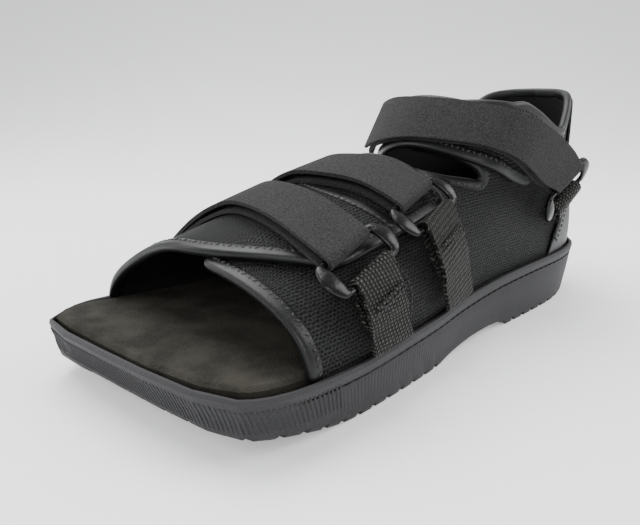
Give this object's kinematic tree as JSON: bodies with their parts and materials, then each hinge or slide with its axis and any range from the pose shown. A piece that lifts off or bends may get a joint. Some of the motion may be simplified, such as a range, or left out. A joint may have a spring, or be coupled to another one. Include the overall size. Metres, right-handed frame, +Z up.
{
  "type": "post operative shoe",
  "caption": "Open-toe post-operative shoe with a wrap-over mesh upper, lugged rubber sole, insole, heel counter and hook-and-loop straps through plastic rings.",
  "frame": {"origin": "middle of the sole's footprint, on the floor the shoe stands on", "axes": "+Z up, -Y towards the toe, +X towards the outer side of the left foot"},
  "size_m": [0.1264, 0.289, 0.1161],
  "materials": {
    "sole_rubber": "matte",
    "footbed_foam": "suede",
    "upper_mesh": "woven spacer mesh",
    "counter_leatherette": "satin",
    "strap_fabric": "brushed loop",
    "webbing_nylon": "coarse weave",
    "ring_plastic": "gloss"
  },
  "bodies": {
    "root": {"outsole": "sole_rubber", "insole": "footbed_foam", "upper": "upper_mesh", "heel_counter": "counter_leatherette", "forefoot_strap": "strap_fabric", "instep_strap": "strap_fabric", "ankle_strap": "strap_fabric", "forefoot_ring": "ring_plastic", "instep_ring": "ring_plastic", "ankle_ring": "ring_plastic", "forefoot_webbing": "webbing_nylon", "instep_webbing": "webbing_nylon", "ankle_webbing": "webbing_nylon"}
  },
  "joints": []
}
